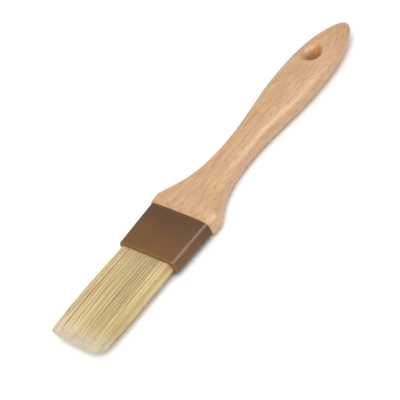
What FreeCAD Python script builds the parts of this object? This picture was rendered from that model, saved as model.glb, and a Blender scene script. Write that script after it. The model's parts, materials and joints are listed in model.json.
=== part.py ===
import FreeCAD, Part
import math
import os

# A flat pastry brush lying on its back: wooden handle, plastic ferrule, hair set in resin.
# All sizes are in millimetres. While it is being built, x = 0 is the mouth of the ferrule,
# +X runs towards the end of the handle, Y runs across the width and z = 0 is the mid-plane.
# At the end everything is moved so that the origin is at the bottom centre of the brush.

# Driving dimensions.
FERRULE_LENGTH = 28.7
HANDLE_LENGTH = 150.0        # visible wood, from the ferrule to the end
HAIR_LENGTH = 61.0           # free hair, from the ferrule's mouth to the tips
BOARD_HALF = 7.0             # half of the board that the handle is cut from; it rests on this

# Ferrule: a round-cornered sleeve that widens from its mouth to the handle.
MOUTH_HALF_WIDTH = 20.0
MOUTH_HALF_DEPTH = 5.0
BACK_HALF_WIDTH = 20.8
BACK_HALF_DEPTH = 5.3
FERRULE_CORNER = 4.0
FERRULE_WALL = 1.8
LIP_ROUND = 0.9              # rounding of the mouth's outer edge

# Handle.
TENON_LENGTH = 11.0
TENON_CHAMFER = 1.0
SECTION_POINTS = 32
# Sections along the visible handle: distance from the ferrule, half width, half depth,
# and the power of the rounded outline (2 is an ellipse, more is squarer).
HANDLE_SECTIONS = [
    (0.0, 20.9, 5.75, 5.0),
    (2.4, 21.35, 6.55, 4.6),
    (5.0, 21.6, 6.9, 4.2),
    (6.8, 21.5, 6.95, 4.0),
    (8.6, 20.7, 6.95, 3.8),
    (13.8, 17.6, 6.75, 3.5),
    (20.6, 14.0, 6.5, 3.2),
    (30.0, 11.0, 6.3, 2.9),
    (41.5, 9.35, 6.2, 2.7),
    (55.0, 9.1, 6.3, 2.6),
    (69.0, 10.2, 6.6, 2.55),
    (83.0, 12.2, 6.9, 2.5),
    (96.5, 13.5, 7.0, 2.5),
    (110.0, 13.85, 6.8, 2.45),
    (121.5, 13.2, 6.3, 2.4),
    (131.0, 11.55, 5.55, 2.3),
    (139.0, 9.0, 4.5, 2.2),
    (145.0, 6.1, 3.3, 2.1),
    (148.6, 3.2, 2.0, 2.0),
    (HANDLE_LENGTH, 0.9, 0.6, 2.0),
]
HOLE_STATION = 120.7         # distance from the ferrule to the centre of the hanging hole
HOLE_RADIUS = 3.5
HOLE_STRAIGHT_HALF = 1.2     # half the length of the straight bore, before it flares
FLARE_ROUND = 5.7            # radius of the flare's rounded wall
FLARE_TURN = 78.0            # degrees that the flare's wall turns outwards

# Inside the ferrule.
FIT_CLEARANCE = 0.05         # between pieces that are glued together
STRIP_HALF_DEPTH = 0.9
STRIP_HALF_WIDTH = 16.0
STRIP_START = 3.0
RESIN_START = 8.0
ROOT_DEPTH = 15.0            # how far the hair reaches into the ferrule

# Hair. Sections from the mouth outwards: distance, half width, half depth, corner radius.
HAIR_SECTIONS = [
    (0.0, 17.7, 3.1, 2.2),
    (10.0, 17.8, 3.4, 2.3),
    (28.0, 17.9, 3.5, 2.2),
    (45.0, 18.0, 2.9, 1.8),
    (56.0, 17.8, 2.0, 1.3),
    (HAIR_LENGTH, 17.2, 1.0, 0.8),
]
FLEX_STATION = 9.0           # the hair bends about a line this far outside the mouth
FLEX_RADIUS = 4.0            # round end of the moving hair
FLEX_CLEARANCE = 0.3
ROWS_MEET = 18.0             # distance from the mouth at which the two rows close up
ROW_GAP_HALF = 0.04

TENON_START = FERRULE_LENGTH - TENON_LENGTH
REACH = 100.0                # half size of cutting blocks, larger than any width of the brush
OVERCUT = 1.0                # how far a cutter runs past the end of what it cuts


def rounded_section(x, half_width, half_depth, corner):
    """Closed wire across the brush at x: a rectangle with round corners."""
    arcs = []
    for quarter, (side_y, side_z) in enumerate([(1, 1), (-1, 1), (-1, -1), (1, -1)]):
        centre = FreeCAD.Vector(x, side_y * (half_width - corner), side_z * (half_depth - corner))
        arc_points = []
        for eighth in range(3):
            angle = math.radians(90 * quarter + 45 * eighth)
            spoke = FreeCAD.Vector(0, corner * math.cos(angle), corner * math.sin(angle))
            arc_points.append(centre + spoke)
        arcs.append(arc_points)
    edges = []
    for quarter, arc_points in enumerate(arcs):
        next_start = arcs[(quarter + 1) % 4][0]
        edges.append(Part.Arc(*arc_points).toShape())
        edges.append(Part.LineSegment(arc_points[-1], next_start).toShape())
    return Part.Wire(edges)


def sleeve_section(x, inset):
    """Section of the ferrule's tapered outside at x, drawn in by the given inset."""
    part_way = x / FERRULE_LENGTH
    half_width = MOUTH_HALF_WIDTH + part_way * (BACK_HALF_WIDTH - MOUTH_HALF_WIDTH)
    half_depth = MOUTH_HALF_DEPTH + part_way * (BACK_HALF_DEPTH - MOUTH_HALF_DEPTH)
    return rounded_section(x, half_width - inset, half_depth - inset, FERRULE_CORNER - inset)


def sleeve_core(x_start, x_end, inset):
    """Solid that follows the ferrule's taper between two stations."""
    return Part.makeLoft([sleeve_section(x_start, inset), sleeve_section(x_end, inset)], True, True)


def oval_section(x, half_width, half_depth, power):
    """Closed smooth wire across the handle at x: between an ellipse and a rectangle."""
    points = []
    for step in range(SECTION_POINTS):
        angle = 2 * math.pi * step / SECTION_POINTS
        across = math.cos(angle)
        up = math.sin(angle)
        reach = (abs(across) ** power + abs(up) ** power) ** (-1 / power)
        points.append(FreeCAD.Vector(x, half_width * across * reach, half_depth * up * reach))
    outline = Part.BSplineCurve()
    even_steps = list(range(SECTION_POINTS + 1))
    outline.interpolate(Points=points, PeriodicFlag=True, Parameters=even_steps)
    return Part.Wire([outline.toShape()])


def side_slab(profile):
    """Solid whose outline seen from the side is the given list of (x, z) points."""
    points = [FreeCAD.Vector(x, -REACH, z) for x, z in profile]
    wire = Part.makePolygon(points + points[:1])
    return Part.Face(wire).extrude(FreeCAD.Vector(0, 2 * REACH, 0))


def block(x_start, x_end):
    """Solid slice of space between two stations, wider and deeper than the brush."""
    corner = FreeCAD.Vector(x_start, -REACH, -REACH)
    return Part.makeBox(x_end - x_start, 2 * REACH, 2 * REACH, corner)


def hanging_hole_tool():
    """Round cutter for the hanging hole: a straight bore with a rounded flare at both ends."""
    upper = []
    for turn in (0, FLARE_TURN / 2, FLARE_TURN):
        angle = math.radians(turn)
        radius = HOLE_RADIUS + FLARE_ROUND * (1 - math.cos(angle))
        height = HOLE_STRAIGHT_HALF + FLARE_ROUND * math.sin(angle)
        upper.append(FreeCAD.Vector(radius, 0, height))
    lower = [FreeCAD.Vector(point.x, 0, -point.z) for point in upper]
    axis_top = FreeCAD.Vector(0, 0, upper[-1].z)
    axis_bottom = FreeCAD.Vector(0, 0, lower[-1].z)
    edges = [
        Part.Arc(*upper).toShape(),
        Part.LineSegment(upper[-1], axis_top).toShape(),
        Part.LineSegment(axis_top, axis_bottom).toShape(),
        Part.LineSegment(axis_bottom, lower[-1]).toShape(),
        Part.Arc(*reversed(lower)).toShape(),
        Part.LineSegment(lower[0], upper[0]).toShape(),
    ]
    face = Part.Face(Part.Wire(edges))
    tool = face.revolve(FreeCAD.Vector(0, 0, 0), FreeCAD.Vector(0, 0, 1), 360)
    tool.translate(FreeCAD.Vector(FERRULE_LENGTH + HOLE_STATION, 0, 0))
    return tool


def make_handle():
    """Turned and sanded handle with its tenon and its hanging hole."""
    sections = [
        oval_section(FERRULE_LENGTH + station, half_width, half_depth, power)
        for station, half_width, half_depth, power in HANDLE_SECTIONS
    ]
    grip = Part.makeLoft(sections, True, False)
    tenon = sleeve_core(TENON_START, FERRULE_LENGTH, FERRULE_WALL + FIT_CLEARANCE)
    front_edges = [edge for edge in tenon.Edges if edge.BoundBox.XMax < TENON_START + FIT_CLEARANCE]
    tenon = tenon.makeChamfer(TENON_CHAMFER, front_edges)
    return grip.fuse(tenon).cut(hanging_hole_tool())


def make_ferrule():
    """Tapered sleeve, open right through, with its mouth rounded outside."""
    outside = sleeve_core(0, FERRULE_LENGTH, 0)
    front_edges = [edge for edge in outside.Edges if edge.BoundBox.XMax < FIT_CLEARANCE]
    outside = outside.makeFillet(LIP_ROUND, front_edges)
    return outside.cut(sleeve_core(0, FERRULE_LENGTH, FERRULE_WALL))


def make_filler_strip():
    """Flat spacer between the two rows of hair roots."""
    length = TENON_START - FIT_CLEARANCE - STRIP_START
    corner = FreeCAD.Vector(STRIP_START, -STRIP_HALF_WIDTH, -STRIP_HALF_DEPTH)
    return Part.makeBox(length, 2 * STRIP_HALF_WIDTH, 2 * STRIP_HALF_DEPTH, corner)


def hair_bundle():
    """The whole tuft as one body: straight in the ferrule, thinning to a chisel edge outside."""
    sections = [
        rounded_section(-distance, half_width, half_depth, corner)
        for distance, half_width, half_depth, corner in HAIR_SECTIONS
    ]
    outside = Part.makeLoft(sections, True, False)
    root_section = rounded_section(ROOT_DEPTH, *HAIR_SECTIONS[0][1:])
    inside = Part.makeLoft([sections[0], root_section], True, True)
    return outside.fuse(inside)


def flex_cylinder(radius):
    """Round bar across the brush on the line that the hair bends about."""
    start = FreeCAD.Vector(-FLEX_STATION, -REACH, 0)
    return Part.makeCylinder(radius, 2 * REACH, start, FreeCAD.Vector(0, 1, 0))


def row_gap():
    """Wedge between the two rows of hair: the strip's thickness inside, closing up outside."""
    inner = STRIP_HALF_DEPTH + FIT_CLEARANCE
    outer = ROW_GAP_HALF
    start = ROOT_DEPTH + OVERCUT
    end = -HAIR_LENGTH - OVERCUT
    return side_slab([
        (start, inner), (0, inner), (-ROWS_MEET, outer), (end, outer),
        (end, -outer), (-ROWS_MEET, -outer), (0, -inner), (start, -inner),
    ])


def make_hair_rows():
    """Upper and lower rows of hair, each as its fixed roots and its free, moving length."""
    bundle = hair_bundle().cut(row_gap())
    roots = bundle.common(block(-FLEX_STATION, ROOT_DEPTH)).cut(flex_cylinder(FLEX_RADIUS + FLEX_CLEARANCE))
    beyond = bundle.common(block(-HAIR_LENGTH, -FLEX_STATION))
    round_end = bundle.common(block(-FLEX_STATION, 0)).common(flex_cylinder(FLEX_RADIUS))
    free = beyond.fuse(round_end).removeSplitter()
    rows = {}
    for name, shape in (("hair_roots", roots), ("bristles", free)):
        for solid in shape.Solids:
            side = "upper" if solid.CenterOfMass.z > 0 else "lower"
            rows[name + "_" + side] = solid
    return rows


def make_setting_resin(hair_roots, filler_strip):
    """Cast block that fills the ferrule round the roots and the filler strip."""
    cast = sleeve_core(RESIN_START, TENON_START - FIT_CLEARANCE, FERRULE_WALL + FIT_CLEARANCE)
    for piece in hair_roots + [filler_strip]:
        cast = cast.cut(piece)
    return cast


def build_nodes():
    """All nodes of the brush by name, in the frame they are stored in."""
    filler_strip = make_filler_strip()
    nodes = make_hair_rows()
    hair_roots = [nodes["hair_roots_upper"], nodes["hair_roots_lower"]]
    nodes["handle"] = make_handle()
    nodes["ferrule"] = make_ferrule()
    nodes["filler_strip"] = filler_strip
    nodes["setting_resin"] = make_setting_resin(hair_roots, filler_strip)
    middle = (FERRULE_LENGTH + HANDLE_LENGTH - HAIR_LENGTH) / 2
    for shape in nodes.values():
        shape.translate(FreeCAD.Vector(-middle, 0, BOARD_HALF))
    return nodes


os.makedirs("parts", exist_ok=True)
for node_name, node_shape in build_nodes().items():
    node_shape.exportStep("parts/" + node_name + ".step")
    print(node_name, len(node_shape.Solids), round(node_shape.Volume, 1), node_shape.isValid())
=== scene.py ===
import json
import math

import bpy
import numpy as np
from mathutils import Matrix, Vector


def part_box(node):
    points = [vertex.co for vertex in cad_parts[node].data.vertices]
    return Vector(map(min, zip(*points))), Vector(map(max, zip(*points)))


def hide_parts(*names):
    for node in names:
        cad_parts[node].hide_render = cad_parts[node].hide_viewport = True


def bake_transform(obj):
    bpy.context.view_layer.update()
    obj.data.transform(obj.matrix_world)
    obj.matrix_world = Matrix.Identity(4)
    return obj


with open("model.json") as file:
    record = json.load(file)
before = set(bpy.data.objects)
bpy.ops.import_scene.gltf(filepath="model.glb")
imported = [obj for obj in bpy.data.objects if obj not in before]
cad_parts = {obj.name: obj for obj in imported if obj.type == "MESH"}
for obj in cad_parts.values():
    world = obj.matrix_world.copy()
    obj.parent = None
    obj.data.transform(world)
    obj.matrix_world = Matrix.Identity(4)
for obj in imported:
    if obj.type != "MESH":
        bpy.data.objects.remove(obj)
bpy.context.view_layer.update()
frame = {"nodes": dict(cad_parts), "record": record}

# A flat pastry brush. The handle, ferrule, resin and filler strip keep their CAD shapes and get their
# materials here. The hair is modelled hair by hair, in place of the plain solids that stand for it.

MM = 0.001

# ---------------------------------------------------------------- places, all read from the frame

FERRULE_LOW, FERRULE_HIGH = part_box("ferrule")
HAIR_LOW, HAIR_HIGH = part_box("bristles_upper")
ROOT_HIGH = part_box("hair_roots_upper")[1]

HANGING_HOLE = frame["record"]["mounts"][0]
HOLE_X = HANGING_HOLE["pos_m"][0]
HOLE_RADIUS = HANGING_HOLE["dims"]["r_mm"] * MM

MOUTH_X = FERRULE_LOW[0]                       # where the hair leaves the ferrule
TIP_X = HAIR_LOW[0]
MID_Z = (FERRULE_LOW[2] + FERRULE_HIGH[2]) / 2
HAIR_LENGTH = MOUTH_X - TIP_X
HAIR_HALF_WIDTH = (HAIR_HIGH[1] - HAIR_LOW[1]) / 2
HAIR_HALF_DEPTH = HAIR_HIGH[2] - MID_Z
ROOT_DEPTH = 0.45 * (ROOT_HIGH[0] - MOUTH_X)   # how far into the ferrule the modelled hair starts

# ---------------------------------------------------------------- small helpers


def add_node(tree, kind, inputs=None, **settings):
    """New shader node. inputs maps a socket's name or number to a value or to another node's output."""
    node = tree.nodes.new(kind)
    for name, value in settings.items():
        setattr(node, name, value)
    for socket, value in (inputs or {}).items():
        if isinstance(value, bpy.types.NodeSocket):
            tree.links.new(value, node.inputs[socket])
        else:
            node.inputs[socket].default_value = value
    return node


def math_node(tree, operation, first, second=0.0):
    return add_node(tree, "ShaderNodeMath", {0: first, 1: second}, operation=operation).outputs[0]


def plus(tree, first, second):
    return math_node(tree, "ADD", first, second)


def minus(tree, first, second):
    return math_node(tree, "SUBTRACT", first, second)


def times(tree, first, second):
    return math_node(tree, "MULTIPLY", first, second)


def over(tree, first, second):
    return math_node(tree, "DIVIDE", first, second)


def size_of(tree, value):
    return math_node(tree, "ABSOLUTE", value)


def ramp(tree, factor, stops, interpolation="LINEAR"):
    """Colour ramp through (position, colour) stops; a colour may be one grey number."""
    node = add_node(tree, "ShaderNodeValToRGB", {"Fac": factor})
    node.color_ramp.interpolation = interpolation
    elements = node.color_ramp.elements
    while len(elements) < len(stops):
        elements.new(0.5)
    for element, (position, colour) in zip(elements, stops):
        rgb = (colour,) * 3 if isinstance(colour, float) else colour
        element.position = position
        element.color = (*rgb, 1.0)
    return node.outputs["Color"]


def mix(tree, factor, first, second, blend="MIX"):
    node = add_node(tree, "ShaderNodeMix", {"Factor": factor}, data_type="RGBA", blend_type=blend)
    for index, value in ((6, first), (7, second)):
        if isinstance(value, bpy.types.NodeSocket):
            tree.links.new(value, node.inputs[index])
        else:
            node.inputs[index].default_value = (*value, 1.0)
    return node.outputs[2]


def stretched(tree, scale, rotation=(0.0, 0.0, 0.0)):
    """The object's own coordinates, scaled differently along each axis."""
    place = add_node(tree, "ShaderNodeTexCoord").outputs["Object"]
    sockets = {"Vector": place, "Scale": scale, "Rotation": rotation}
    return add_node(tree, "ShaderNodeMapping", sockets).outputs[0]


def place_xyz(tree, scale=(1.0, 1.0, 1.0), rotation=(0.0, 0.0, 0.0)):
    """The three numbers of a place on the object, by axis name."""
    return add_node(tree, "ShaderNodeSeparateXYZ", {0: stretched(tree, scale, rotation)}).outputs


def noise(tree, stretch, detail=3.0, roughness=0.5):
    """Noise whose detail is as fine along each axis as the stretch, in features per metre."""
    sockets = {"Vector": stretched(tree, stretch), "Scale": 1.0, "Detail": detail, "Roughness": roughness}
    return add_node(tree, "ShaderNodeTexNoise", sockets).outputs["Fac"]


def bump(tree, height, distance, strength):
    sockets = {"Height": height, "Distance": distance, "Strength": strength}
    return add_node(tree, "ShaderNodeBump", sockets).outputs["Normal"]


def attribute(tree, name):
    """A number that the mesh stores at each point."""
    return add_node(tree, "ShaderNodeAttribute", attribute_name=name).outputs["Fac"]


def new_material(name, **values):
    """A material with one Principled shader, whose plain sockets are set from values."""
    material = bpy.data.materials.new(name)
    material.use_nodes = True
    shader = material.node_tree.nodes["Principled BSDF"]
    for socket, value in values.items():
        shader.inputs[socket.replace("_", " ")].default_value = value
    return material, material.node_tree, shader


# ---------------------------------------------------------------- materials


GROWTH_LAYER = 1.3 * MM      # thickness of the wood's growth layers
# Torn raw wood; its dark end also serves as painted shade deep down in the hole.
TORN_WOOD_AND_SHADE = [(0.35, (0.792, 0.417, 0.158)), (0.62, (0.400, 0.158, 0.042))]
SOAKED = (0.80, 0.64, 0.50)  # how much of each colour end grain keeps under the lacquer


def growth_lines(tree):
    """The board is cut nearly flat to its growth layers, so they ring the rounded edges and the tip."""
    place = place_xyz(tree, (1.0, 0.22, 1.0), (0.0, 0.02, 0.0))
    wander = times(tree, noise(tree, (10.0, 60.0, 60.0)), 4.0 * MM)
    height = plus(tree, plus(tree, place["Z"], place["Y"]), wander)
    layer = math_node(tree, "FRACT", over(tree, height, GROWTH_LAYER))
    return ramp(tree, layer, [(0.0, 0.1), (0.6, 0.45), (0.92, 1.0), (1.0, 0.1)])


def soaked_end_grain(tree, colour):
    """End grain soaks up more finish, so it is darker."""
    normal = add_node(tree, "ShaderNodeTexCoord").outputs["Normal"]
    facing = add_node(tree, "ShaderNodeSeparateXYZ", {0: normal}).outputs["X"]
    end_grain = ramp(tree, size_of(tree, facing), [(0.08, 0.0), (0.75, 1.0)])
    return mix(tree, times(tree, end_grain, 0.6), colour, SOAKED, "MULTIPLY")


def raw_and_shaded_hole(tree, colour):
    """The hole's wall is left raw and darkened with painted shade deep down, and left raw where the drill
    tore across the grain at its far end.
    """
    place = place_xyz(tree)
    along = minus(tree, place["X"], HOLE_X)
    square = plus(tree, math_node(tree, "POWER", along, 2.0), math_node(tree, "POWER", place["Y"], 2.0))
    distance = math_node(tree, "SQRT", square)
    near_hole = ramp(tree, over(tree, distance, 2.5 * HOLE_RADIUS), [(0.62, 1.0), (0.82, 0.0)])
    from_middle = size_of(tree, minus(tree, place["Z"], MID_Z))
    # Painted shade: the wall darkens deep down in the hole.
    deep_painted_shade = ramp(tree, over(tree, from_middle, HOLE_RADIUS), [(0.1, 0.7), (0.4, 0.0)])
    cut_across = ramp(tree, over(tree, along, distance), [(0.25, 0.0), (0.8, 1.0)])
    raw = times(tree, near_hole, math_node(tree, "MAXIMUM", deep_painted_shade, cut_across))
    torn_and_shaded_wood = ramp(tree, noise(tree, (350.0, 500.0, 250.0)), TORN_WOOD_AND_SHADE)
    return mix(tree, times(tree, raw, 0.75), colour, torn_and_shaded_wood)


def wood_material(name, pale, deep, blush, fleck, coat):
    """Fine straight-grained hardwood: short streaks, faint growth lines, pinker patches, flecks, lacquer."""
    settings = {"Coat_Weight": coat, "Coat_Roughness": 0.44, "Specular_IOR_Level": 0.25}
    material, tree, shader = new_material(name, **settings)
    streaks = noise(tree, (90.0, 1500.0, 1500.0), 4.0, 0.65)
    long_streaks = noise(tree, (18.0, 600.0, 600.0), 2.0)
    patches = noise(tree, (90.0, 260.0, 260.0), 4.0)
    shade = plus(tree, times(tree, growth_lines(tree), 0.08), times(tree, streaks, 0.5))
    shade = plus(tree, shade, times(tree, long_streaks, 0.13))
    shade = plus(tree, shade, times(tree, patches, 0.26))
    colour = ramp(tree, shade, [(0.36, pale), (0.62, deep)])
    flush = ramp(tree, noise(tree, (16.0, 45.0, 45.0), 2.0), [(0.35, 0.0), (0.65, 1.0)])
    colour = mix(tree, times(tree, flush, 0.5), colour, blush, "MULTIPLY")
    flecks = ramp(tree, noise(tree, (260.0, 1500.0, 1500.0), 2.0), [(0.57, 0.0), (0.69, 1.0)])
    colour = mix(tree, times(tree, flecks, 0.65), colour, fleck)
    colour = raw_and_shaded_hole(tree, soaked_end_grain(tree, colour))
    tree.links.new(colour, shader.inputs["Base Color"])
    tree.links.new(ramp(tree, streaks, [(0.3, 0.42), (0.8, 0.56)]), shader.inputs["Roughness"])
    grain = minus(tree, times(tree, streaks, 0.6), times(tree, flecks, 0.5))
    tree.links.new(bump(tree, grain, 0.05 * MM, 0.5), shader.inputs["Normal"])
    return material


def plastic_material():
    """Brown moulded plastic: faint clouding, fine orange peel, painted shade darker towards the back, a
    painted highlight along the lip, a painted reflection of the wood along the back rim.
    """
    material, tree, shader = new_material("ferrule_plastic", Specular_IOR_Level=0.24)
    from_mouth = minus(tree, place_xyz(tree)["X"], MOUTH_X)
    along = over(tree, from_mouth, FERRULE_HIGH[0] - MOUTH_X)
    cloud = noise(tree, (70.0, 70.0, 70.0))
    # Painted shade: the plastic is coloured darker towards the back of the ferrule.
    shade = plus(tree, times(tree, along, 0.6), times(tree, cloud, 0.4))
    colour = ramp(tree, shade, [(0.25, (0.135, 0.062, 0.018)), (0.75, (0.082, 0.037, 0.013))])
    # Painted highlight: a paler band along the lip at the mouth, where its rounding catches the light.
    lip = ramp(tree, along, [(0.0, 1.0), (0.02, 1.0), (0.05, 0.0)])
    colour = mix(tree, times(tree, lip, 0.3), colour, (0.275, 0.138, 0.037))
    # Painted reflection: a tawny band where the wood shows reflected in the back rim.
    rim = ramp(tree, along, [(0.955, 0.0), (0.975, 1.0)])
    colour = mix(tree, times(tree, rim, 0.6), colour, (0.142, 0.052, 0.010))
    tree.links.new(colour, shader.inputs["Base Color"])
    rubs = noise(tree, (40.0, 1500.0, 1500.0), 2.0)
    tree.links.new(ramp(tree, rubs, [(0.35, 0.22), (0.8, 0.27)]), shader.inputs["Roughness"])
    peel = noise(tree, (900.0, 900.0, 900.0), 2.0)
    height = plus(tree, peel, times(tree, rubs, 0.05))
    tree.links.new(bump(tree, height, 0.02 * MM, 0.3), shader.inputs["Normal"])
    return material


def resin_material():
    """Amber cast resin with small trapped bubbles."""
    material, tree, shader = new_material("resin", Coat_Weight=0.3)
    cloud = noise(tree, (300.0, 300.0, 300.0), 4.0)
    colour = ramp(tree, cloud, [(0.3, (0.50, 0.30, 0.10)), (0.7, (0.68, 0.47, 0.20))])
    tree.links.new(colour, shader.inputs["Base Color"])
    tree.links.new(ramp(tree, cloud, [(0.3, 0.2), (0.7, 0.4)]), shader.inputs["Roughness"])
    tree.links.new(bump(tree, cloud, 0.1 * MM, 0.4), shader.inputs["Normal"])
    return material


MIDDLE_PAINTED_SHADE = (0.74, 0.73, 0.70)    # how much of each colour hair keeps where the painted shade down the middle is deepest


def hair_material(name, dark, pale, gold, tip):
    """Natural hair: each has its own tone, golden towards the -Y side, whitened at the split tips, with
    painted shade down the middle and painted light on the +Y side.
    """
    settings = {"Specular_IOR_Level": 0.4, "Sheen_Weight": 0.1, "Sheen_Roughness": 0.4}
    material, tree, shader = new_material(name, **settings)
    along = attribute(tree, "along")
    bands = noise(tree, (30.0, 800.0, 800.0))
    shade = plus(tree, times(tree, attribute(tree, "tone"), 0.75), times(tree, bands, 0.40))
    colour = ramp(tree, shade, [(0.10, dark), (0.82, pale)])
    across = over(tree, place_xyz(tree)["Y"], -HAIR_HALF_WIDTH)
    near_side = ramp(tree, across, [(0.80, 0.0), (1.0, 1.0)])
    colour = mix(tree, times(tree, near_side, 0.55), colour, gold)
    # Painted light: the +Y side is lightened towards the tips, where it lies in shade.
    far_side = ramp(tree, times(tree, across, -1.0), [(0.0, 0.0), (0.8, 1.0)])
    painted_light_far_tips = times(tree, far_side, ramp(tree, along, [(0.4, 0.0), (0.85, 0.4)]))
    colour = mix(tree, painted_light_far_tips, colour, tip)
    # Painted shade: the hair is darkened down the middle, near the ferrule.
    middle = ramp(tree, size_of(tree, across), [(0.35, 1.0), (0.85, 0.0)], "EASE")
    inner = ramp(tree, along, [(0.2, 1.0), (0.85, 0.0)], "EASE")
    colour = mix(tree, times(tree, middle, inner), colour, MIDDLE_PAINTED_SHADE, "MULTIPLY")
    root = ramp(tree, along, [(0.0, 1.0), (0.14, 0.0)], "EASE")
    colour = mix(tree, times(tree, root, 0.3), colour, dark)
    white = ramp(tree, along, [(0.74, 0.0), (1.0, 1.0)], "EASE")
    colour = mix(tree, times(tree, white, 0.9), colour, tip)
    tree.links.new(colour, shader.inputs["Base Color"])
    scales = noise(tree, (1800.0, 5000.0, 5000.0), 2.0)
    tree.links.new(ramp(tree, scales, [(0.3, 0.36), (0.7, 0.56)]), shader.inputs["Roughness"])
    tree.links.new(bump(tree, scales, 0.02 * MM, 0.4), shader.inputs["Normal"])
    return material


def floor_material():
    """Pale matt board, very slightly mottled."""
    material, tree, shader = new_material("floor", Specular_IOR_Level=0.2)
    mottle = noise(tree, (25.0, 25.0, 25.0), 4.0)
    tree.links.new(ramp(tree, mottle, [(0.3, 0.95), (0.7, 0.97)]), shader.inputs["Base Color"])
    tree.links.new(ramp(tree, mottle, [(0.3, 0.75), (0.7, 0.85)]), shader.inputs["Roughness"])
    return material


def dress(node_name, material):
    """Gives a CAD node its material."""
    mesh = frame["nodes"][node_name].data
    mesh.materials.clear()
    mesh.materials.append(material)


# ---------------------------------------------------------------- hair

HAIR_STEPS = 15              # rings along one hair
HAIR_SIDES = 3
LAYERS = 6                   # layers of hair from the surface of the tuft inwards
LAYER_STEP = 0.17 * MM
HAIR_SPACING = 0.21 * MM
HAIR_RADIUS = 0.115 * MM
LOCK_SPACING = 1.3 * MM      # neighbouring hairs draw together in locks about this wide
STREAK_SPACING = 0.40 * MM   # hairs of one tone lie together in streaks about this wide
SWAY = 0.9 * MM              # how far the tips lean to the +Y side
SWAY_CURVE = 1.5             # 1 would be a straight lean, and more bends later
FAR_CORNER_TRIM = 0.9 * MM   # how much shorter the hair is at the tip's +Y corner
NEAR_CORNER_TRIM = 4.0 * MM  # and at its -Y corner, which is worn round
CORNER_WIDTH = 4.5 * MM      # how far in from the side a corner's rounding reaches
UNEVENNESS = 0.4 * MM        # usual difference in length between neighbouring hairs
MOST_UNEVEN = 2.0 * MM
TIP_CLEARANCE = 1.4 * MM     # how far the longest hair stays inside the tuft's box, with its split end
PROUD = 0.12 * MM            # most that a hair may stand out of the tuft's surface
CORE_SHORTER = 9.0 * MM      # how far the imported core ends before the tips

CORE_NARROWS = 1.5 * MM      # how much more it would narrow on each side by the tips, if it reached them
CORE_RINGS = 30
CORE_SIDES = 96

# How the hairs run. Leans, waves and the edge are shares of the way round the tuft's outline.
MOST_PULL = 0.2              # most that a lock draws its hairs together
GATHER_SPEED = 1.25          # above 1, the locks are fully drawn together before the tips
LEAN = 0.004                 # usual lean of a lock, and of a hair in it
RISE = 0.05                  # usual rise of either out of the surface, in millimetres
LOCK_WAVE = (0.0009, 5.0)    # how far a lock's path sways, and how fast
OWN_WAVE = (0.0006, 9.0)     # and a single hair's, over its lock's
EDGE_TURN = 0.002            # no hair comes nearer than this to the line where the two rows meet

# Tones run from 0, the darkest hair, to 1, the palest.
MIDDLE_TONE = 0.71
LOCK_TONE = 0.04             # usual difference from lock to lock
STREAK_TONE = 0.20           # from streak to streak
OWN_TONE = 0.07              # and from hair to hair
STREAKS_APART = (2, 7)       # a dark streak comes every 2 to 6 streaks
DARK_STREAK = (0.25, 0.65)   # how much darker it is, from the least to the most
DEEP_PAINTED_SHADE = 0.2            # painted shade: about how much darker the innermost layer is
CORE_PAINTED_SHADE_TONE = 0.3

TIP_TAPER = 0.45             # how much thinner a hair gets on its way to the tip
LAST_RING = 0.35             # and how much of that is left at its own tip, between its split ends
SPLIT_STEPS = 4              # rings along one split end
SPLIT_AT = 0.35              # where the ends part, as a share of the hair's last step
SPLIT_FROM = 0.95            # how far along the hair that is, for its colour
SPLIT_THICKNESS = 0.45       # thickness of a split end at its root, as a share of the hair's
SPLIT_POINT = 0.3            # and how much of that is left at its point
SPLIT_SPREAD = (0.3, 0.22, 0.14)    # how far the ends stray along X, Y and Z, in millimetres

TABLE_STEPS = 400            # steps of the tables that curves are read from
EASE_STEPS = 25              # how many of those steps a corner of a curve is rounded over, each way

# The tuft's half width and half depth along its length, as shares of its largest ones.
SHAPE_AT = [0.0, 0.2, 0.5, 0.75, 0.92, 1.0]
WIDTH_SHARE = [0.97, 0.985, 1.0, 1.015, 1.01, 0.945]
DEPTH_SHARE = [0.94, 0.99, 0.97, 0.76, 0.46, 0.24]
SQUARENESS = 6.0             # how nearly the tuft's section is a rectangle
OUTLINE_LENGTH = 2 * HAIR_HALF_WIDTH + 2 * HAIR_HALF_DEPTH    # round the upper half of the section


def smooth_curve(position, at, values):
    """Values at the given positions, on a smooth curve through the table."""
    fine = np.linspace(at[0], at[-1], TABLE_STEPS)
    rough = np.interp(fine, at, values)
    padded = np.pad(rough, EASE_STEPS, mode="reflect", reflect_type="odd")
    window = np.hanning(2 * EASE_STEPS + 1)
    eased = np.convolve(padded, window / window.sum(), mode="valid")
    return np.interp(position, fine, eased)


def outline_point(turn, half_width, half_depth):
    """Point on the tuft's upper outline, from the +Y side at turn 0 over the top to the -Y side at 1."""
    table = np.linspace(0.0, math.pi, TABLE_STEPS)
    across, up = np.cos(table), np.sin(table)
    reach = (np.abs(across) ** SQUARENESS + np.abs(up) ** SQUARENESS) ** (-1 / SQUARENESS)
    across, up = across * reach, up * reach
    steps = np.hypot(np.diff(across) * HAIR_HALF_WIDTH, np.diff(up) * HAIR_HALF_DEPTH)
    travelled = np.concatenate([[0.0], np.cumsum(steps)])
    share = travelled / travelled[-1]
    return half_width * np.interp(turn, share, across), half_depth * np.interp(turn, share, up)


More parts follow.
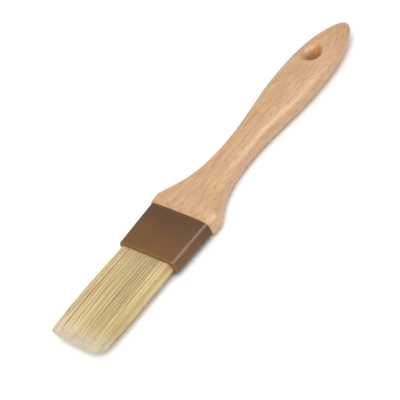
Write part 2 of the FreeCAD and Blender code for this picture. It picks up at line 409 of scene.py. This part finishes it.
def hair_lengths(turn, rng):
    """Length of each hair: shorter at the tuft's two corners, and uneven all over."""
    corner_trim = np.interp(turn, [0.0, 1.0], [FAR_CORNER_TRIM, NEAR_CORNER_TRIM])
    from_middle = np.abs(2 * turn - 1) * OUTLINE_LENGTH / 2
    edge = np.clip((from_middle - HAIR_HALF_WIDTH + CORNER_WIDTH) / CORNER_WIDTH, 0.0, 1.0)
    rounding = 1 - np.sqrt(1 - 0.999 * edge ** 2)    # a quarter circle, just short of its steep end
    uneven = rng.exponential(UNEVENNESS, turn.size).clip(0, MOST_UNEVEN)
    trim = corner_trim * rounding + uneven
    return HAIR_LENGTH - trim - TIP_CLEARANCE


def hair_row(side, seed):
    """Centre lines of all hairs of one row. side is 1 for the upper row, -1 for the lower."""
    rng = np.random.default_rng(seed)
    per_layer = int(OUTLINE_LENGTH / HAIR_SPACING)
    turn = np.tile((np.arange(per_layer) + 0.5) / per_layer, LAYERS)
    turn = turn + rng.normal(0.0, 0.2 / per_layer, turn.size)
    layer_depth = np.repeat(np.arange(LAYERS) * LAYER_STEP, per_layer)
    depth = layer_depth + rng.uniform(0.0, 0.6, turn.size) * LAYER_STEP
    count = turn.size

    # Locks: neighbours that draw together, lean and rise as one, and share a tone.
    lock_count = int(OUTLINE_LENGTH / LOCK_SPACING)
    lock_edges = np.sort(rng.uniform(0.0, 1.0, lock_count - 1))
    lock = np.searchsorted(lock_edges, turn)
    bounds = np.concatenate([[0.0], lock_edges, [1.0]])
    lock_centre = (bounds[lock] + bounds[lock + 1]) / 2
    lock_pull = rng.uniform(0.0, MOST_PULL, lock_count)[lock]
    lock_lean = rng.normal(0.0, LEAN, lock_count)[lock]
    lock_rise = rng.normal(0.0, RISE, lock_count)[lock] * MM
    lock_tone = rng.normal(0.0, LOCK_TONE, lock_count)[lock]
    lock_phase = rng.uniform(0.0, 2 * math.pi, lock_count)[lock]

    # Streaks: narrower than locks, with a dark one every few streaks.
    streak_count = int(OUTLINE_LENGTH / STREAK_SPACING)
    streak = np.clip((turn * streak_count).astype(int), 0, streak_count - 1)
    streak_tone = rng.normal(0.0, STREAK_TONE, streak_count)
    dark_streaks = np.cumsum(rng.integers(*STREAKS_APART, streak_count // 2))
    dark_streaks = dark_streaks[dark_streaks < streak_count]
    streak_tone[dark_streaks] -= rng.uniform(*DARK_STREAK, dark_streaks.size)

    along = np.linspace(0.0, 1.0, HAIR_STEPS)[None, :]
    length = hair_lengths(turn, rng)
    distance = -ROOT_DEPTH + along * (length + ROOT_DEPTH)[:, None]
    free = np.clip(distance / HAIR_LENGTH, 0.0, 1.0)

    # Where each hair runs round the tuft's outline: straight at the root, gathered in its lock further out.
    gather = np.sin(np.clip(free * GATHER_SPEED, 0.0, 1.0) * math.pi / 2) ** 2
    lock_reach, lock_speed = LOCK_WAVE
    own_reach, own_speed = OWN_WAVE
    lock_wave = lock_reach * np.sin(free * lock_speed + lock_phase[:, None])
    own_phase = 6.3 * rng.random((count, 1))    # up to about a full turn, in radians
    own_wave = own_reach * np.sin(free * own_speed + own_phase)
    wave = lock_wave + own_wave
    path_turn = turn[:, None] + (lock_centre - turn)[:, None] * lock_pull[:, None] * gather
    path_turn = path_turn + free * (lock_lean + rng.normal(0.0, LEAN, count))[:, None] + wave * gather
    path_turn = np.clip(path_turn, EDGE_TURN, 1 - EDGE_TURN)

    half_width = HAIR_HALF_WIDTH * smooth_curve(free, SHAPE_AT, WIDTH_SHARE) - depth[:, None] - HAIR_RADIUS
    half_depth = HAIR_HALF_DEPTH * smooth_curve(free, SHAPE_AT, DEPTH_SHARE)
    # The inner layers lie just under the surface at the root and fill the whole depth at the tips.
    packed = (depth / HAIR_HALF_DEPTH)[:, None]
    spread = (depth / (LAYERS * LAYER_STEP))[:, None]
    inward = 1 - packed - (spread - packed) * free ** 3
    rise = (lock_rise + rng.normal(0.0, RISE, count) * MM)[:, None] * gather * (1 - free ** 4)
    y, z = outline_point(path_turn, half_width, half_depth * inward)
    y = y + SWAY * free ** SWAY_CURVE
    z = np.maximum(z + np.minimum(rise, PROUD) * (z / HAIR_HALF_DEPTH), 0.0)
    points = np.stack([MOUTH_X - distance, y, MID_Z + side * z], axis=-1)

    tone = MIDDLE_TONE + lock_tone + streak_tone[streak] + rng.normal(0.0, OWN_TONE, count)
    tone = tone - DEEP_PAINTED_SHADE * depth / (LAYERS * LAYER_STEP)
    return points, np.clip(tone, 0.0, 1.0), free


def split_ends(points, seed):
    """Two finer ends for each hair, spreading from near its tip."""
    rng = np.random.default_rng(seed)
    start = points[:, -2] + SPLIT_AT * (points[:, -1] - points[:, -2])
    tip = points[:, -1]
    steps = np.linspace(0.0, 1.0, SPLIT_STEPS)[None, :, None]
    stray_x, stray_y, stray_z = SPLIT_SPREAD
    ends = []
    for _ in range(2):
        spread = np.zeros_like(tip)
        spread[:, 0] = -rng.uniform(-stray_x, stray_x, len(tip)) * MM
        spread[:, 1] = rng.normal(0.0, stray_y, len(tip)) * MM
        spread[:, 2] = rng.normal(0.0, stray_z, len(tip)) * MM
        ends.append(start[:, None] + (tip - start)[:, None] * steps + spread[:, None] * steps ** 2)
    return np.concatenate(ends)


def add_mesh(name, vertices, faces, material, attributes=None):
    """New piece from points and faces. attributes maps a name to one number per point."""
    mesh = bpy.data.meshes.new(name)
    mesh.from_pydata(vertices, [], faces)
    for attribute_name, values in (attributes or {}).items():
        layer = mesh.attributes.new(attribute_name, "FLOAT", "POINT")
        layer.data.foreach_set("value", values.astype(np.float32))
    mesh.materials.append(material)
    piece = bpy.data.objects.new(name, mesh)
    bpy.context.scene.collection.objects.link(piece)
    return piece


def smoothly(piece):
    """Shades the piece as a smooth surface."""
    piece.data.polygons.foreach_set("use_smooth", [True] * len(piece.data.polygons))
    return piece


def ring_sides(index):
    """Faces between neighbouring rings of points. index holds point numbers, a ring along its last axis."""
    following = np.roll(index, -1, axis=-1)
    here, there = index[..., :-1, :], index[..., 1:, :]
    quads = np.stack([here, there, following[..., 1:, :], following[..., :-1, :]], axis=-1)
    return quads.reshape(-1, 4).tolist()


def tubes(name, bundles, material):
    """One mesh of many thin closed tubes. Each bundle is (points, radii, tone, along)."""
    angles = np.arange(HAIR_SIDES) * 2 * math.pi / HAIR_SIDES
    ring = np.stack([np.zeros(HAIR_SIDES), np.cos(angles), np.sin(angles)], axis=-1)
    vertices, faces, tones, alongs = [], [], [], []
    start = 0
    for points, radii, tone, along in bundles:
        count, rings, _ = points.shape
        spots = points[:, :, None, :] + radii[:, :, None, None] * ring[None, None]
        vertices.append(spots.reshape(-1, 3))
        index = start + np.arange(count * rings * HAIR_SIDES).reshape(count, rings, HAIR_SIDES)
        faces.extend(ring_sides(index))
        faces.extend(index[:, 0].tolist())
        faces.extend(index[:, -1, ::-1].tolist())
        tones.append(np.repeat(tone, rings * HAIR_SIDES))
        alongs.append(np.repeat(along.reshape(-1), HAIR_SIDES))
        start += count * rings * HAIR_SIDES
    attributes = {"tone": np.concatenate(tones), "along": np.concatenate(alongs)}
    return smoothly(add_mesh(name, np.concatenate(vertices).tolist(), faces, material, attributes))


def make_hair(side, name, seed, material):
    """One row of hair: the hairs themselves and their split ends."""
    points, tone, free = hair_row(side, seed)
    taper = 1 - TIP_TAPER * free ** 3
    taper[:, -1] *= LAST_RING
    hairs = (points, HAIR_RADIUS * taper, tone, free)
    ends = split_ends(points, seed + 1)
    end_taper = np.tile(np.linspace(1.0, SPLIT_POINT, SPLIT_STEPS), (len(ends), 1))
    end_along = np.tile(np.linspace(SPLIT_FROM, 1.0, SPLIT_STEPS), (len(ends), 1))
    split = (ends, HAIR_RADIUS * SPLIT_THICKNESS * end_taper, np.tile(tone, 2), end_along)
    return tubes(name, [hairs, split], material)


def make_hair_core(material):
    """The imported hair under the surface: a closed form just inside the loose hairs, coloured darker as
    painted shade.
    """
    inset = LAYERS * LAYER_STEP
    distance = np.linspace(-ROOT_DEPTH, HAIR_LENGTH - CORE_SHORTER, CORE_RINGS)
    free = np.clip(distance / HAIR_LENGTH, 0.0, 1.0)
    half_width = HAIR_HALF_WIDTH * smooth_curve(free, SHAPE_AT, WIDTH_SHARE) - inset
    half_width = half_width - CORE_NARROWS * free ** 6
    half_depth = HAIR_HALF_DEPTH * smooth_curve(free, SHAPE_AT, DEPTH_SHARE) * (1 - inset / HAIR_HALF_DEPTH)
    turn = np.linspace(0.0, 1.0, CORE_SIDES // 2, endpoint=False)
    vertices = []
    for ring in range(CORE_RINGS):
        y, z = outline_point(turn, half_width[ring], half_depth[ring])
        x = np.full(CORE_SIDES, MOUTH_X - distance[ring])
        y = np.concatenate([y, -y]) + SWAY * free[ring] ** SWAY_CURVE
        vertices.append(np.stack([x, y, MID_Z + np.concatenate([z, -z])], axis=-1))
    index = np.arange(CORE_RINGS * CORE_SIDES).reshape(CORE_RINGS, CORE_SIDES)
    faces = ring_sides(index) + [index[0].tolist(), index[-1, ::-1].tolist()]
    attributes = {"tone": np.full(index.size, CORE_PAINTED_SHADE_TONE), "along": np.repeat(free, CORE_SIDES)}
    return smoothly(add_mesh("hair_core", np.concatenate(vertices).tolist(), faces, material, attributes))


def bend_with_tuft(piece):
    """Bakes the piece's placement into its mesh."""
    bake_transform(piece)


# ---------------------------------------------------------------- stage, light and camera

FLOOR_SIZE = 3.0
CAMERA_AZIMUTH = -31.2       # degrees; 0 looks along +Y
CAMERA_ELEVATION = 42.7
CAMERA_ROLL = 27.5
CAMERA_LENS = 176.2          # focal length, with the camera a metre away
LOOK_FROM_MOUTH = (37.0 * MM, -11.2 * MM, 10.6 * MM)    # from the mouth's centre to the picture's centre


def make_floor():
    half = FLOOR_SIZE / 2
    corners = [(-half, -half, 0), (half, -half, 0), (half, half, 0), (-half, half, 0)]
    add_mesh("floor", corners, [(0, 1, 2, 3)], floor_material())


def aim(thing, target):
    thing.rotation_euler = (Vector(target) - thing.location).to_track_quat("-Z", "Y").to_euler()


def soft_light(name, direction, distance, size, power, only_highlights=False):
    lamp = bpy.data.lights.new(name, "AREA")
    lamp.shape = "DISK"
    lamp.size = size
    lamp.energy = power
    light = bpy.data.objects.new(name, lamp)
    bpy.context.scene.collection.objects.link(light)
    light.location = Vector(direction).normalized() * distance
    light.visible_diffuse = not only_highlights
    aim(light, (0.0, 0.0, 0.0))


def make_world(horizon, zenith):
    """White surroundings, brighter overhead than round the horizon."""
    world = bpy.data.worlds.new("studio")
    world.use_nodes = True
    tree = world.node_tree
    background = tree.nodes["Background"]
    background.inputs["Color"].default_value = (1.0, 1.0, 1.0, 1.0)
    direction = add_node(tree, "ShaderNodeTexCoord").outputs["Generated"]
    height = add_node(tree, "ShaderNodeSeparateXYZ", {0: direction}).outputs["Z"]
    squared = math_node(tree, "POWER", size_of(tree, height), 2.0)
    strength = plus(tree, times(tree, squared, zenith - horizon), horizon)
    tree.links.new(strength, background.inputs["Strength"])
    bpy.context.scene.world = world


def make_camera():
    """Looks down on the hair end and the -Y side, tilted so that the brush points up and right."""
    azimuth = math.radians(CAMERA_AZIMUTH)
    elevation = math.radians(CAMERA_ELEVATION)
    along, across, up = LOOK_FROM_MOUTH
    target = Vector((MOUTH_X + along, across, MID_Z + up))
    back = Vector((
        math.cos(elevation) * math.sin(azimuth),
        -math.cos(elevation) * math.cos(azimuth),
        math.sin(elevation),
    ))
    lens = bpy.data.cameras.new("camera")
    lens.lens = CAMERA_LENS
    camera = bpy.data.objects.new("camera", lens)
    bpy.context.scene.collection.objects.link(camera)
    camera.location = target + back
    turn = (-back).to_track_quat("-Z", "Y").to_matrix().to_4x4()
    turn = turn @ Matrix.Rotation(-math.radians(CAMERA_ROLL), 4, "Z")
    camera.rotation_euler = turn.to_euler()
    bpy.context.scene.camera = camera


# ---------------------------------------------------------------- put together

blush = (1.0, 0.93, 0.98)
beech_pale, beech_deep, beech_fleck = (0.555, 0.348, 0.175), (0.380, 0.205, 0.092), (0.358, 0.133, 0.042)
strip_pale, strip_deep, strip_fleck = (0.72, 0.55, 0.36), (0.52, 0.36, 0.20), (0.30, 0.18, 0.09)
dress("handle", wood_material("handle_wood", beech_pale, beech_deep, blush, beech_fleck, coat=1.0))
dress("ferrule", plastic_material())
dress("setting_resin", resin_material())
dress("filler_strip", wood_material("strip_wood", strip_pale, strip_deep, blush, strip_fleck, coat=0.0))

straw = (0.358, 0.204, 0.058)
cream = (0.89, 0.73, 0.385)
gold = (0.533, 0.367, 0.133)
bleached = (0.93, 0.83, 0.65)
loose_hair = hair_material("hair", straw, cream, gold, bleached)
# Painted shade: the core, seen in the gaps between the hairs, has darker colours than the loose hair.
core_hair_painted_shade = hair_material("core_hair_painted_shade", (0.40, 0.26, 0.10), (0.70, 0.53, 0.28), gold, bleached)
upper = make_hair(1, "hair_upper", 13, loose_hair)
lower = make_hair(-1, "hair_lower", 29, loose_hair)
core = make_hair_core(core_hair_painted_shade)
for hair_piece in (upper, lower, core):
    bend_with_tuft(hair_piece)
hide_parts("bristles_upper", "hair_roots_upper")
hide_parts("bristles_lower", "hair_roots_lower")

make_floor()
make_world(horizon=0.565, zenith=1.5)
soft_light("key", (-0.32, -0.45, 0.82), distance=0.55, size=0.45, power=1.56)
soft_light("sheen", (0.36, -0.78, 0.51), distance=0.9, size=0.55, power=2.4, only_highlights=True)
soft_light("glint", (0.30, -0.57, 0.76), distance=0.88, size=0.28, power=2.2, only_highlights=True)
make_camera()

view_settings = bpy.context.scene.view_settings
view_settings.view_transform = "Standard"
